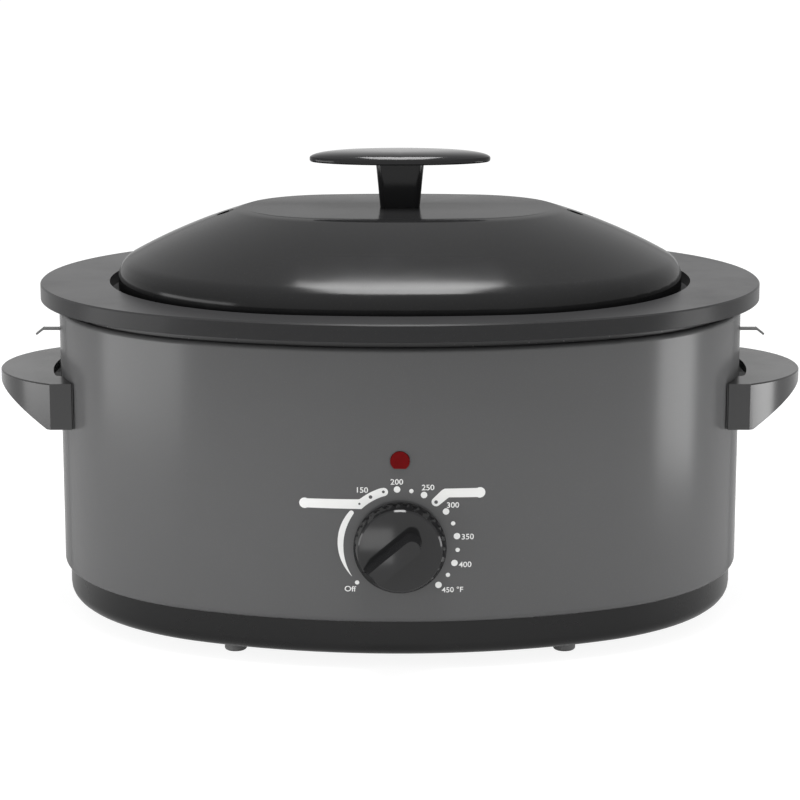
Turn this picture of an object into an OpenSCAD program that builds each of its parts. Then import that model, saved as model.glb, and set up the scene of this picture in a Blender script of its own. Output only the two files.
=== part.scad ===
// Oval electric roaster oven: a painted steel body round a heated well, a lift-out
// cooking pan with a wide flat rim, and a domed lid that sits in a step inside that rim.
// Origin: centre of the footprint, on the surface that the feet stand on. +Z is up and
// the control knob faces -Y. Every oval has four arcs, so each shell that is drawn at a
// distance from an oval keeps that distance all the way round.

/* [Footprint] */
// Half length of the pan's wide rim
rim_half_len = 185; // [180:1:195]
// Half depth of the pan's wide rim
rim_half_dep = 142; // [139:1:150]
// Half the angle of the rim's end arcs, in degrees
rim_arc_a = 66; // [62:0.5:70]
// Width of the flat rim at the two ends
flange_end_w = 35.5; // [34:0.5:40]
// Width of the flat rim at the front and back
flange_side_w = 22.5; // [22:0.5:26]
// Half the angle of the opening's end arcs, in degrees
opening_arc_a = 81; // [76:0.5:83]
// How far the rim stands out past the painted body
rim_overhang = 9.3; // [7:0.1:11]

/* [Heights] */
// Height of the feet that show under the base
foot_h = 6.6; // [5.6:0.2:9]
// Height of the black base band
base_h = 17.8; // [15:0.2:22]
// Height of the painted body
body_h = 134; // [128:1:146]
// Height of the dark neck that shows between body and rim
neck_h = 4.4; // [3:0.2:6]
// Height of the rim's turned-down skirt
skirt_h = 8.6; // [6.6:0.2:11]

/* [Sheet metal] */
// Thickness of the painted body
body_t = 1.2; // [0.8:0.1:1.6]
// Radius that the body's lower edge curls under with
body_curl_r = 3; // [2.5:0.5:5]
// Width of the lip turned in at the body's top and bottom
body_lip_w = 11; // [10:0.5:14]
// Thickness of the enamelled pan and well
enamel_t = 1.2; // [0.8:0.1:1.6]
// Width of the small bevels on the rim's edges
rim_bevel = 0.7; // [0.3:0.1:1]
// Thickness of the base
base_t = 1.5; // [1:0.1:2.5]
// Radius of the base's lower edge
base_edge_r = 7; // [5:0.5:9]
// How far the base stands in from the body
base_set_in = 2.9; // [2:0.1:4]

/* [Cooking pan and well] */
// Depth of the step that the lid sits in
recess_d = 6; // [4:0.5:9]
// Width of the ledge at the bottom of that step
ledge_w = 8; // [7:0.5:11]
// Depth of the pan, from the rim to the floor inside
pan_depth = 120; // [100:1:124]
// How far the pan's wall leans in on its way down
pan_draft = 6; // [3:0.5:9]
// Radius between the pan's wall and floor
pan_corner_r = 22; // [15:1:26]
// Gap between the pan and the well
well_gap = 3.5; // [2.5:0.5:5]
// Gap between the rim and the well's collar that carries it
seat_gap = 0.3; // [0.2:0.1:0.6]
// How far the dark neck stands in from the body
neck_set_in = 3.7; // [2.5:0.1:5]

/* [Lid] */
// Thickness of the lid
lid_t = 1; // [0.8:0.1:1.4]
// Gap between the lid's edge and the rim's opening
lid_gap = 4.5; // [3.5:0.1:6]
// Height of the lid's flat top above the rim
lid_rise = 37; // [32:1:44]
// Distance from the lid's edge in to its flat top
lid_top_in = 65; // [58:1:72]
// Radius of the lid's shoulder
lid_shoulder_r = 12; // [9:0.5:15]
// Height of the lid's upright edge above the rim
lid_edge_up = 1.8; // [0.5:0.1:3]
// Slope of the lid just inside its shoulder, in degrees
lid_slope = 29; // [26:1:32]
// Width of the lid's folded hem
lid_hem_w = 2.2; // [1.8:0.1:2.6]
// Radius of the two steam vents
vent_r = 4.4; // [3:0.1:5]
// Distance of the steam vents from the middle
vent_x = 90; // [82:1:105]

/* [Lid handle] */
// Half length of the handle's oval plate
grip_half_len = 46.4; // [40:0.2:50]
// Half depth of the handle's oval plate
grip_half_dep = 19.5; // [17:0.5:26]
// Thickness of the plate in the middle
grip_t = 6; // [5:0.1:8]
// Height of the plate's upright edge below its shoulder
grip_edge_t = 2; // [1.5:0.1:3]
// Height of the stem below the plate
stem_h = 23; // [18:1:28]
// Half width of the stem under the plate
stem_top_w = 12.4; // [11:0.1:14]
// Half width of the stem on the lid
stem_foot_w = 10.2; // [9:0.1:11]
// Half depth of the stem under the plate
stem_top_d = 8.4; // [7.4:0.1:10]
// Half depth of the stem on the lid
stem_foot_d = 6.6; // [6:0.1:8]
// Radius of the stem's four upright edges
stem_edge_r = 3.5; // [2:0.1:5]

/* [Side handles] */
// How far each side handle reaches out from the body
handle_reach = 31.3; // [28:0.1:36]
// Half length of a side handle along the body
handle_half_len = 53.6; // [48:0.2:58]
// Height of a side handle at the body
handle_h = 23.5; // [21:0.5:27]
// Height of a side handle at its outer edge
handle_lip_h = 5.4; // [5:0.1:8]
// Distance of the handle's top below the body's top
handle_drop = 32.8; // [28:0.2:40]
// Thickness of the handle's top
handle_roof_t = 4.4; // [3.5:0.1:4.8]
// Thickness of the handle's outer wall
handle_wall_t = 4; // [3:0.1:5]
// Thickness of the ribs under the handle
handle_rib_t = 2; // [1.5:0.1:3]
// Width of the finger slot between handle and body
slot_w = 3.7; // [3:0.1:5]
// Half length of that slot between its round ends
slot_half_len = 29.5; // [24:0.5:34]
// Gap between a side handle and the body's curve
handle_fit = 0.3; // [0.2:0.1:0.5]
// Width of the shadow groove between the handle's two arms and the body
handle_groove = 1.5; // [1:0.1:2.5]
// Angle of the handle screws round the body's end, in degrees
handle_screw_a = 21; // [19:1:22]

/* [Lid rests] */
// Width of the sheet-metal lid rests
rest_w = 5; // [4:0.5:8]
// Thickness of the lid rests
rest_t = 1; // [0.8:0.1:1.4]
// How far a lid rest stands out before it bends
rest_reach = 9.5; // [7:0.5:12]
// Length of the bent tip
rest_tip = 5; // [3:0.5:7]
// Distance of the lid rests below the body's top
rest_drop = 14; // [10:0.5:20]

/* [Control] */
// Height of the knob's centre above the body's lower edge
knob_up = 38; // [36:0.5:44]
// Radius of the knob's skirt
knob_skirt_r = 22.2; // [20:0.2:24]
// Radius of the knob's front face
knob_face_r = 19.7; // [18:0.1:19.8]
// Depth of the knob from its back to its front face
knob_d = 8.2; // [7:0.1:10]
// Height of the knob's finger bar in front of its face
bar_d = 14; // [10:0.5:16]
// Width of the finger bar at its top
bar_w = 7.8; // [6:0.2:10]
// Gap between the knob and the body
knob_gap = 0.9; // [0.6:0.1:1.5]
// Number of grip flutes round the knob
flutes = 28; // [20:1:32]
// Direction of the finger bar at OFF, in degrees from the right
dial_off_a = 220; // [210:1:225]
// Radius of the shaft
shaft_r = 3; // [2.5:0.1:3.5]
// Running clearance of the shaft
shaft_fit = 0.05; // [0.03:0.01:0.1]
// Width of the thermostat
stat_w = 34; // [28:1:38]
// Depth of the thermostat behind its bracket
stat_d = 13.5; // [10:0.5:14]
// Height of the indicator lamp above the knob's centre
lamp_up = 42; // [38:0.5:50]
// Radius of the indicator lens
lens_r = 4.6; // [3.6:0.1:6]
// How far the lens's flat lies below its centre
lens_flat = 3.7; // [3:0.1:4.6]

/* [Inside] */
// Thickness of the heating band
band_t = 2; // [1.5:0.1:2.5]
// Height of the heating band
band_h = 50; // [30:1:56]
// Thickness of the insulation
blanket_t = 4; // [3:0.1:4.4]
// Gap between the well and the heating band
layer_gap = 0.15; // [0.1:0.05:0.3]
// Radius of the centre stud that ties well and base together
stud_r = 3; // [2.5:0.1:4]
// Radius of the lead wires
lead_r = 1.1; // [0.8:0.1:1.5]
// Radius of the hole for the mains lead
inlet_r = 3.8; // [3:0.1:4.6]
// Height of that hole above the body's lower edge
inlet_up = 15; // [13:0.5:22]
// Radius of the feet
foot_r = 5.5; // [5:0.1:8]
// Distance of the feet from the middle, along the length
foot_x = 81.3; // [70:0.5:90]
// Distance of the feet from the middle, along the depth
foot_y = 94; // [80:1:97]

/* [Rack] */
// Radius of the rack's rim wire
rack_rim_r = 2; // [1.6:0.1:2.6]
// Radius of the rack's rods
rack_rod_r = 1.5; // [1.2:0.1:1.8]
// Spacing of the rods
rack_pitch = 24; // [20:1:30]
// Height of the rack's legs
rack_leg_h = 12; // [9:0.5:18]
// Distance of the rack's long rods from the middle
rack_long_y = 52; // [40:1:64]
// Gap between the rack and the pan's wall
rack_gap = 3; // [2:0.5:6]

/* [Hidden] */

steel_grey = [0.36, 0.36, 0.37];
lid_grey = [0.22, 0.22, 0.23];
enamel_black = [0.09, 0.09, 0.09];
plastic_black = [0.07, 0.07, 0.07];
bright_steel = [0.75, 0.75, 0.77];

arc_fn = 180;
round_fn = 48;
small_fn = 24;

// An oval is its half length, its half depth and half the angle of its end arcs.
rim_oval = [rim_half_len, rim_half_dep, rim_arc_a];
opening_half_len = rim_half_len - flange_end_w;
opening_half_dep = rim_half_dep - flange_side_w;
opening_oval = [opening_half_len, opening_half_dep, opening_arc_a];

z_base = foot_h;
z_body = z_base + base_h;
z_body_top = z_body + body_h;
z_skirt = z_body_top + neck_h;
z_rim = z_skirt + skirt_h;
z_ledge = z_rim - recess_d;
z_pan_floor = z_rim - pan_depth;
z_seat = z_rim - enamel_t - seat_gap;

body_out = -rim_overhang;
band_out = body_out - base_set_in;
neck_out = body_out - neck_set_in;
wall_y = rim_half_dep + body_out;
wall_in_y = wall_y - body_t;
wall_x = rim_half_len + body_out;

// Distances of the shells from the pan's inner face
pan_outer = enamel_t;
well_inner = pan_outer + well_gap;
well_outer = well_inner + enamel_t;
corner_out = -ledge_w - pan_draft - pan_corner_r;
corner_z = z_pan_floor + pan_corner_r;
z_well_floor = z_pan_floor - well_outer;

// The centres of an oval's end arcs lie at +-end_c on X, those of its sides at +-rise on Y.
function end_c(oval) =
    (oval[0] - oval[1]) / (1 - (1 - sin(oval[2])) / cos(oval[2]));
function end_r(oval) = oval[0] - end_c(oval);
function rise(oval) = end_c(oval) * tan(oval[2]);
function side_r(oval) = oval[1] + rise(oval);

end_x = end_c(rim_oval);
body_end_r = end_r(rim_oval) + body_out;

// Points of an arc in a profile
function arc_points(centre, r, from, to, steps) =
    [for (i = [0:steps]) let (a = from + (to - from) * i / steps)
        [centre[0] + r * cos(a), centre[1] + r * sin(a)]];

// Half depth of an oval that lies `out` outside the given one, at distance x from the middle
function oval_y(oval, out, x) =
    abs(x) < end_c(oval) + (end_r(oval) + out) * cos(oval[2])
        ? sqrt(pow(side_r(oval) + out, 2) - x * x) - rise(oval)
        : sqrt(max(0, pow(end_r(oval) + out, 2) - pow(abs(x) - end_c(oval), 2)));

// Points round an oval, for the plain middle of a floor
function oval_points(oval, out, n = 40) =
    [for (i = [0:n - 1]) let (
            a = 360 * i / n,
            sx = cos(a) < 0 ? -1 : 1,
            sy = sin(a) < 0 ? -1 : 1)
        abs(sin(a)) < sin(oval[2])
            ? [sx * end_c(oval) + (end_r(oval) + out) * cos(a), (end_r(oval) + out) * sin(a)]
            : [(side_r(oval) + out) * cos(a), (side_r(oval) + out) * sin(a) - sy * rise(oval)]];

// Moves in two steps, whole thousandths and the rest, so that the four arcs of an oval
// meet exactly.
module shift(x, y) {
    cx = round(x * 1000) / 1000;
    cy = round(y * 1000) / 1000;
    translate([cx, cy, 0]) translate([x - cx, y - cy, 0]) children();
}

// Draws the 2D child round an oval. In the child, x is the distance outside the oval
// and y is the height.
module round_oval(oval) {
    a = oval[2];
    for (side = [0, 180]) rotate([0, 0, side]) {
        shift(end_c(oval), 0)
            rotate_extrude(angle = 2 * a, start = -a, $fn = arc_fn)
                shift(end_r(oval), 0) children();
        shift(0, -rise(oval))
            rotate_extrude(angle = 180 - 2 * a, start = a, $fn = arc_fn)
                shift(side_r(oval), 0) children();
    }
}

// A full oval solid whose edge follows the profile, which runs from its top to its floor
fill_w = 56;
module oval_block(oval, edge, top, floor) {
    round_oval(oval) polygon(concat(edge, [[-fill_w, floor], [-fill_w, top]]));
    translate([0, 0, floor])
        linear_extrude(top - floor) polygon(oval_points(oval, -fill_w * 0.9));
}

// The pan's inner face moved outwards by d, from the rim down to the floor
function tub(d, top) = concat(
    [[d, top], [d, z_ledge - d], [d - ledge_w, z_ledge - d]],
    arc_points([corner_out, corner_z], pan_corner_r + d, 0, -90, 8)
);
// Where that face lies at height z, between ledge and corner
function tub_out(d, z) =
    let (t = (z_ledge - d - z) / (z_ledge - d - corner_z))
    d - ledge_w - t * pan_draft;

// ---------------------------------------------------------------- outer body
module outer_shell() {
    lip = body_lip_w;
    edge_r = 2 * body_t;
    curl_c = [body_out - body_curl_r, z_body + body_curl_r];
    top_c = [body_out - edge_r, z_body_top - edge_r];
    round_oval(rim_oval) polygon(concat(
        [[body_out - lip, z_body_top]],
        arc_points(top_c, edge_r, 90, 0, 4),
        arc_points(curl_c, body_curl_r, 0, -90, 8),
        [[body_out - lip, z_body], [body_out - lip, z_body + body_t]],
        arc_points(curl_c, body_curl_r - body_t, -90, 0, 8),
        arc_points(top_c, edge_r - body_t, 0, 90, 4),
        [[body_out - lip, z_body_top - body_t]]
    ));
}

module on_front(z) {
    translate([0, -wall_y, z]) rotate([90, 0, 0]) children();
}
module on_back(z) {
    translate([0, wall_y, z]) rotate([-90, 0, 0]) children();
}
// Places children on a radius of the body's right end, with +X pointing out of the wall
module on_end(angle, z) {
    translate([end_x, 0, z]) rotate([0, 0, angle]) translate([body_end_r, 0, 0]) children();
}
// The same place on the right end (1) or the left end (-1)
module on_side(side) {
    mirror([side < 0 ? 1 : 0, 0, 0]) children();
}

knob_z = z_body + knob_up;
lamp_z = knob_z + lamp_up;
inlet_z = z_body + inlet_up;
handle_top_z = z_body_top - handle_drop;
handle_mid_z = handle_top_z - handle_h / 2;
rest_z = z_body_top - rest_drop;
bush_r = shaft_r + 2;
hole_clear = 0.3;
screw_r = 1.6;
bracket_screw_x = 14;
handle_screw_r = 2;

module outer_body() {
    color(steel_grey)
    difference() {
        outer_shell();
        on_front(knob_z) cylinder(r = bush_r + hole_clear, h = 12, center = true, $fn = round_fn);
        for (x = [-bracket_screw_x, bracket_screw_x])
            translate([x, 0, 0]) on_front(knob_z)
                cylinder(r = screw_r + hole_clear, h = 12, center = true, $fn = small_fn);
        on_front(lamp_z) lens_outline(hole_clear / 2, 12);
        on_back(inlet_z) cylinder(r = grommet_r, h = 12, center = true, $fn = round_fn);
        for (side = [-1, 1]) on_side(side) {
            for (a = [-handle_screw_a, handle_screw_a])
                on_end(a, handle_mid_z) rotate([0, 90, 0])
                    cylinder(r = handle_screw_r + hole_clear, h = 12, center = true, $fn = small_fn);
            on_end(0, rest_z) cube([12, rest_w + hole_clear, rest_t + hole_clear], center = true);
        }
    }
}

// ---------------------------------------------------------------- base
base_ledge_w = body_curl_r - base_set_in + 4;

module base_pan() {
    edge_c = [band_out - base_edge_r, z_base + base_edge_r];
    inner_r = base_edge_r - base_t;
    floor_in = band_out - base_edge_r - 8;
    color(plastic_black)
    difference() {
        union() {
            round_oval(rim_oval) polygon(concat(
                [[band_out - base_ledge_w, z_body], [band_out, z_body]],
                arc_points(edge_c, base_edge_r, 0, -90, 6),
                [[floor_in, z_base], [floor_in, z_base + base_t]],
                arc_points(edge_c, inner_r, -90, 0, 6),
                [[band_out - base_t, z_body - base_t], [band_out - base_ledge_w, z_body - base_t]]
            ));
            translate([0, 0, z_base])
                linear_extrude(base_t) polygon(oval_points(rim_oval, floor_in + 4));
        }
        translate([0, 0, z_base]) cylinder(r = stud_r + hole_clear, h = 10, center = true, $fn = round_fn);
        at_feet() cylinder(r = screw_r + hole_clear, h = 40, center = true, $fn = small_fn);
        base_vents();
    }
}

// Slots that let cool air in under the well
vent_slot_w = 4;
vent_slot_l = 34;
module base_vents() {
    for (x = [-45, 45], y = [-36, -24, 24, 36])
        translate([x, y, z_base]) {
            cube([vent_slot_l, vent_slot_w, 10], center = true);
            for (e = [-1, 1])
                translate([e * vent_slot_l / 2, 0, 0])
                    cylinder(r = vent_slot_w / 2, h = 10, center = true, $fn = small_fn);
        }
}

module at_feet() {
    for (x = [-foot_x, foot_x], y = [-foot_y, foot_y]) translate([x, y, 0]) children();
}

foot_head_r = 3;
foot_head_h = 1.8;
foot_floor = 2.4;
module foot(x, y) {
    edge_r = 1.2;
    color(steel_grey * 0.8)
    translate([x, y, 0])
        rotate_extrude($fn = round_fn)
            polygon(concat(
                [[screw_r + hole_clear, foot_h], [foot_r, foot_h]],
                arc_points([foot_r - edge_r, edge_r], edge_r, 0, -90, 4),
                [[foot_head_r + hole_clear, 0], [foot_head_r + hole_clear, foot_floor],
                 [screw_r + hole_clear, foot_floor]]
            ));
}

module foot_screws() {
    color(bright_steel)
    at_feet() {
        translate([0, 0, foot_floor - foot_head_h])
            cylinder(r = foot_head_r, h = foot_head_h, $fn = small_fn);
        translate([0, 0, foot_floor - 0.5])
            cylinder(r = screw_r, h = foot_h + base_t + 3 - foot_floor, $fn = small_fn);
        translate([0, 0, foot_h + base_t])
            cylinder(r = foot_head_r, h = 2.2, $fn = 6);
    }
}

// ---------------------------------------------------------------- heated well
module heat_well() {
    collar_in = flange_end_w + 8;
    color(enamel_black)
    difference() {
        union() {
            round_oval(rim_oval) polygon([
                [neck_out, z_body_top], [neck_out, z_seat], [-collar_in, z_seat],
                [-collar_in, z_seat - enamel_t], [neck_out - enamel_t, z_seat - enamel_t],
                [neck_out - enamel_t, z_body_top]
            ]);
            oval_block(opening_oval, tub(well_outer, z_seat), z_seat, z_well_floor);
        }
        oval_block(opening_oval, tub(well_inner, z_rim + 5), z_rim + 5, z_pan_floor - well_inner);
    }
}

band_top_z = z_ledge - well_outer - 14;
band_low_z = band_top_z - band_h;

// A layer of even thickness that lies round the well's leaning wall
module well_layer(gap, thick, low, top) {
    d = well_outer + gap;
    round_oval(opening_oval) polygon([
        [tub_out(d, low), low], [tub_out(d, top), top],
        [tub_out(d, top) + thick, top], [tub_out(d, low) + thick, low]
    ]);
}

module heating_band() {
    color([0.62, 0.58, 0.5])
    well_layer(layer_gap, band_t, band_low_z, band_top_z);
}

module insulation_blanket() {
    color([0.85, 0.82, 0.7])
    well_layer(2 * layer_gap + band_t, blanket_t, band_low_z - 6, band_top_z + 6);
}

// ---------------------------------------------------------------- centre tie
washer_t = 1.2;
nut_h = 3;
module tie_stud() {
    low = z_base - washer_t - nut_h - 0.8;
    color(bright_steel) {
        translate([0, 0, low]) cylinder(r = stud_r, h = z_well_floor - low, $fn = round_fn);
        translate([0, 0, z_well_floor - 2]) cylinder(r = 4 * stud_r, h = 2, $fn = round_fn);
    }
}

module tie_washer() {
    color(bright_steel)
    translate([0, 0, z_base - washer_t])
        difference() {
            cylinder(r = 3 * stud_r, h = washer_t, $fn = round_fn);
            cylinder(r = stud_r + hole_clear, h = 4 * washer_t, center = true, $fn = round_fn);
        }
}

module tie_nut() {
    color(bright_steel)
    translate([0, 0, z_base - washer_t - nut_h])
        difference() {
            cylinder(r = 1.85 * stud_r, h = nut_h, $fn = 6);
            cylinder(r = stud_r + 0.02, h = 4 * nut_h, center = true, $fn = round_fn);
        }
}

// ---------------------------------------------------------------- side handles
// The handle's outline from above is an arc from corner to corner of its two arms.
handle_arc_r = (pow(handle_half_len, 2) + pow(handle_reach, 2)) / (2 * handle_reach);
handle_arc_x = wall_x + handle_reach - handle_arc_r;
handle_out_x = wall_x + handle_reach;
handle_low_z = handle_top_z - handle_h;
slot_a = asin(slot_half_len / body_end_r);
handle_bevel = 0.6;
handle_rib_y = 17;

module handle_blank(inset, low, top) {
    bevel = inset > 0 ? 0 : handle_bevel;
    r = handle_arc_r - inset;
    w = handle_half_len - inset;
    translate([handle_arc_x, 0, 0])
        intersection() {
            rotate_extrude($fn = arc_fn)
                polygon([[0, low], [r, low], [r, top - bevel], [r - bevel, top], [0, top]]);
            translate([0, -w, low]) cube([r + 1, 2 * w, top - low]);
        }
    translate([handle_arc_x, -w, low])
        cube([wall_x - handle_arc_x + inset / 2, 2 * w, top - low]);
}

module handle_body() {
    roof_z = handle_top_z - handle_roof_t;
    cavity_half = handle_half_len - 17;
    boss_r = 5;
    difference() {
        handle_blank(0, handle_low_z, handle_top_z);
        // slanted underside
        translate([0, handle_half_len + 1, 0]) rotate([90, 0, 0])
            linear_extrude(2 * handle_half_len + 2)
                polygon([
                    [wall_x + 2, handle_low_z], [handle_out_x, handle_top_z - handle_lip_h],
                    [handle_out_x + 2, handle_top_z - handle_lip_h],
                    [handle_out_x + 2, handle_low_z - 2], [wall_x + 2, handle_low_z - 2]
                ]);
        // hollow for the fingers, with the ribs left standing
        difference() {
            intersection() {
                handle_blank(handle_wall_t, handle_low_z - 1, roof_z);
                translate([0, -cavity_half, 0]) cube([handle_out_x, 2 * cavity_half, z_rim]);
            }
            for (y = [-handle_rib_y, handle_rib_y])
                translate([wall_x, y - handle_rib_t / 2, roof_z - 3])
                    cube([handle_reach, handle_rib_t, 4]);
        }
        // seat on the body's round end
        translate([end_x, 0, 0])
            cylinder(r = body_end_r + handle_fit, h = z_rim, $fn = arc_fn);
        // shadow groove down each arm's corner
        for (y = [-1, 1])
            intersection() {
                translate([end_x, 0, 0])
                    cylinder(r = body_end_r + handle_groove, h = z_rim, $fn = arc_fn);
                translate([0, y * handle_half_len, 0])
                    cube([4 * wall_x, 2 * handle_groove, 4 * z_rim], center = true);
            }
        // finger slot along the body, with round ends
        translate([end_x, 0, roof_z - 1]) rotate([0, 0, -slot_a])
            rotate_extrude(angle = 2 * slot_a, $fn = arc_fn)
                translate([body_end_r - 1, 0]) square([slot_w + 1, handle_roof_t + 2]);
        for (a = [-slot_a, slot_a])
            on_end(a, roof_z - 1)
                cylinder(r = slot_w - 0.2, h = handle_roof_t + 2, $fn = round_fn);
        for (a = [-handle_screw_a, handle_screw_a])
            on_end(a, handle_mid_z) rotate([0, 90, 0])
                cylinder(r = handle_screw_r + 0.05, h = 10.5, $fn = small_fn);
    }
}

module side_handle(side) {
    color(plastic_black) on_side(side) handle_body();
}

plate_t = 1.5;
plate_h = 14;
plate_gap = 0.1;
module handle_plate(side) {
    outer = body_end_r - body_t - plate_gap;
    half = handle_screw_a + 5;
    color(bright_steel) on_side(side)
    difference() {
        translate([end_x, 0, handle_mid_z - plate_h / 2]) rotate([0, 0, -half])
            rotate_extrude(angle = 2 * half, $fn = arc_fn)
                translate([outer - plate_t, 0]) square([plate_t, plate_h]);
        for (a = [-handle_screw_a, handle_screw_a])
            on_end(a, handle_mid_z) rotate([0, 90, 0])
                cylinder(r = handle_screw_r + hole_clear, h = 16, center = true, $fn = small_fn);
    }
}

module handle_screws() {
    head_h = 2.4;
    head_back = body_t + plate_gap + plate_t + 0.1;
    color(bright_steel)
    for (side = [-1, 1], a = [-handle_screw_a, handle_screw_a])
        on_side(side) on_end(a, handle_mid_z) rotate([0, 90, 0]) {
            translate([0, 0, -head_back - head_h])
                cylinder(r = 2 * handle_screw_r, h = head_h, $fn = small_fn);
            translate([0, 0, -head_back - 0.5])
                cylinder(r = handle_screw_r, h = head_back + 0.5 + 10, $fn = small_fn);
        }
}

// ---------------------------------------------------------------- lid rests
rest_leg_h = 14;
rest_bend_a = 38;
module lid_rest(side) {
    leg_x = wall_x - body_t - plate_gap;
    color(bright_steel) on_side(side) translate([0, 0, rest_z])
    difference() {
        union() {
            translate([leg_x - rest_t, -rest_w / 2, -rest_t / 2])
                cube([wall_x + rest_reach - leg_x + rest_t, rest_w, rest_t]);
            translate([wall_x + rest_reach, 0, 0]) rotate([0, rest_bend_a, 0])
                translate([-rest_t / 2, -rest_w / 2, -rest_t / 2]) cube([rest_tip, rest_w, rest_t]);
            translate([leg_x - rest_t, -rest_w / 2, -rest_leg_h])
                cube([rest_t, rest_w, rest_leg_h]);
        }
        translate([leg_x, 0, -rest_leg_h + 4]) rotate([0, 90, 0])
            cylinder(r = rivet_r + 0.05, h = 8, center = true, $fn = small_fn);
    }
}

rivet_r = 1.2;
module lid_rest_rivets() {
    leg_x = wall_x - body_t - plate_gap;
    color(bright_steel)
    for (side = [-1, 1])
        on_side(side) translate([leg_x - rest_t - 0.05, 0, rest_z - rest_leg_h + 4])
            rotate([0, 90, 0]) {
                translate([0, 0, -1]) cylinder(r = 2 * rivet_r, h = 1, $fn = small_fn);
                translate([0, 0, -0.5]) cylinder(r = rivet_r, h = rest_t + 0.5, $fn = small_fn);
            }
}

// ---------------------------------------------------------------- thermostat
bracket_t = 1.2;
bracket_w = 40;
bracket_h = 24;
// How far the front wall's inner face falls back at distance x from the middle
function sag(x) =
    let (r = side_r(rim_oval) + body_out - body_t) r - sqrt(r * r - x * x);
// The flat bracket touches the curved wall only at its two sides.
wall_sag = sag(bracket_w / 2);
bracket_y = -(wall_in_y - wall_sag - plate_gap);
stat_back_y = bracket_y + bracket_t + stat_d;

module thermostat() {
    corner = 3;
    color([0.8, 0.78, 0.74])
    difference() {
        union() {
            translate([0, bracket_y + bracket_t, knob_z]) rotate([-90, 0, 0])
                linear_extrude(stat_d) {
                    square([stat_w - 2 * corner, stat_w], center = true);
                    square([stat_w, stat_w - 2 * corner], center = true);
                }
            translate([0, stat_back_y, knob_z]) rotate([90, 0, 0])
                cylinder(r = bush_r, h = stat_back_y + wall_y + 0.4, $fn = round_fn);
            for (x = [-10, 10])
                translate([x, stat_back_y - stat_d / 2, knob_z - stat_w / 2 - 5])
                    cube([6, 0.8, 12], center = true);
        }
        translate([0, stat_back_y - 2, knob_z]) rotate([90, 0, 0])
            cylinder(r = shaft_r + shaft_fit, h = 60, $fn = round_fn);
    }
}

module thermostat_bracket() {
    color(bright_steel)
    difference() {
        translate([-bracket_w / 2, bracket_y, knob_z - bracket_h / 2])
            cube([bracket_w, bracket_t, bracket_h]);
        translate([0, 0, knob_z]) rotate([90, 0, 0]) translate([0, 0, wall_y - 12])
            cylinder(r = bush_r + 0.05, h = 24, $fn = round_fn);
        for (x = [-bracket_screw_x, bracket_screw_x])
            translate([x, bracket_y, knob_z]) rotate([90, 0, 0])
                cylinder(r = screw_r + 0.05, h = 8, center = true, $fn = small_fn);
    }
}

module bracket_screws() {
    head_h = 1.6;
    back = sag(bracket_screw_x - 2.9) - wall_y - 0.05;
    color(bright_steel)
    for (x = [-bracket_screw_x, bracket_screw_x])
        translate([x, back, knob_z]) rotate([90, 0, 0]) {
            cylinder(r = 2.9, h = head_h, $fn = small_fn);
            translate([0, 0, back - bracket_y - bracket_t + 0.05])
                cylinder(r = screw_r, h = bracket_y + bracket_t - back + 0.45, $fn = small_fn);
        }
}

// ---------------------------------------------------------------- control knob
knob_back = -wall_y - knob_gap;
shaft_tip = knob_back - knob_d - 4;
flat_off = 2;
hub_r = shaft_r + 2.6;
knob_floor = 2.6;

// A shaft end with one flat, along +Z
module d_section(r, flat, h) {
    difference() {
        cylinder(r = r, h = h, $fn = round_fn);
        translate([flat, -2 * r, -1]) cube([2 * r, 4 * r, h + 2]);
    }
}

// Looks along -Y out of the wall: x to the right, y up, z towards the user
module at_knob(y) {
    translate([0, y, knob_z]) rotate([90, 0, 0]) children();
}

module control_shaft() {
    d_from = -wall_y - 2;
    color(bright_steel) {
        at_knob(stat_back_y - 2.4)
            cylinder(r = shaft_r, h = stat_back_y - 2.4 - d_from, $fn = round_fn);
        at_knob(d_from + 0.1) rotate([0, 0, dial_off_a])
            d_section(shaft_r, flat_off, d_from + 0.1 - shaft_tip);
    }
}

module knob_spring() {
    from = knob_back - 3.2;
    color(bright_steel)
    at_knob(from) rotate([0, 0, dial_off_a])
        translate([flat_off + 0.05, -1.6, 0]) cube([0.4, 3.2, from - shaft_tip]);
}

module control_knob() {
    rim_t = 2;
    face_edge = 0.8;
    hollow_r = knob_face_r - 2.2;
    color(plastic_black)
    difference() {
        union() {
            at_knob(knob_back) rotate_extrude($fn = 96)
                polygon([
                    [0, 0], [knob_skirt_r - 0.6, 0], [knob_skirt_r, 0.6], [knob_skirt_r, rim_t],
                    [knob_face_r + 0.5, knob_d - face_edge], [knob_face_r - 0.3, knob_d], [0, knob_d]
                ]);
            at_knob(knob_back - knob_d) rotate([0, 0, dial_off_a]) finger_bar();
        }
        // grip flutes
        at_knob(knob_back - rim_t) for (i = [0:flutes - 1])
            rotate([0, 0, (i + 0.5) * 360 / flutes])
                translate([knob_skirt_r + 0.5, 0, 0]) cylinder(r = 1.5, h = knob_d, $fn = 16);
        // hollow back round the hub
        at_knob(knob_back + 1) difference() {
            cylinder(r = hollow_r, h = knob_d - knob_floor + 1, $fn = round_fn);
            translate([0, 0, 1 + 1.6]) cylinder(r = hub_r, h = knob_d, $fn = round_fn);
        }
        // seat of the shaft, with room for the spring behind its flat
        at_knob(knob_back + 1) rotate([0, 0, dial_off_a])
            d_section(shaft_r + 0.02, flat_off + 0.5, knob_back + 1 - shaft_tip + 0.2);
    }
}

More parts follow.
